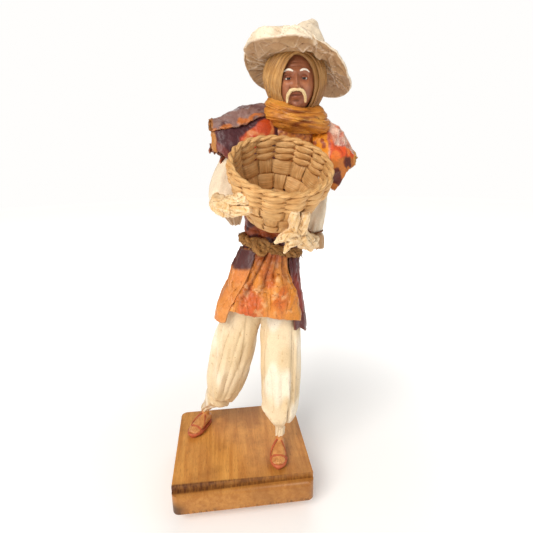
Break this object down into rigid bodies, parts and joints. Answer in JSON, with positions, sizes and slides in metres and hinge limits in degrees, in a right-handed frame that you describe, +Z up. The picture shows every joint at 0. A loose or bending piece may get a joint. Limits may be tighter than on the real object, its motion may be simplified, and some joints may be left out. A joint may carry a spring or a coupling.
{
  "type": "folk-art farmer figure",
  "caption": "Standing papier-mache farmer in a wide hat, scarf, poncho, sash and baggy trousers, holding a woven basket, on a moulded wood board.",
  "frame": {"origin": "centre of the board's underside", "axes": "+Z up through the figure, -Y to its front, +X to its left hand"},
  "size_m": [0.134, 0.1186, 0.3176],
  "materials": {
    "wood": "worn satin varnish",
    "skin": "lacquered",
    "face": "satin paint",
    "sandal": "lacquered",
    "cream_paper": "lightly lacquered",
    "crumpled_paper": "matte",
    "poncho": "lacquered, hand coloured",
    "sash": "matte",
    "rush": "dry plant fibre",
    "whisker": "matte",
    "hood": "matte",
    "scarf": "lacquered",
    "hat": "matte, folded"
  },
  "bodies": {
    "root": {"board": "wood", "foot_right": "skin", "foot_left": "skin", "sandal_right": "sandal", "sandal_left": "sandal", "trousers": "cream_paper", "poncho": "poncho", "belt": "sash", "sleeve_right": "cream_paper", "sleeve_left": "cream_paper", "hand_right": "crumpled_paper", "hand_left": "crumpled_paper", "basket": "rush", "head": "face", "moustache": "whisker", "hood": "hood", "scarf": "scarf", "hat": "hat"}
  },
  "joints": []
}
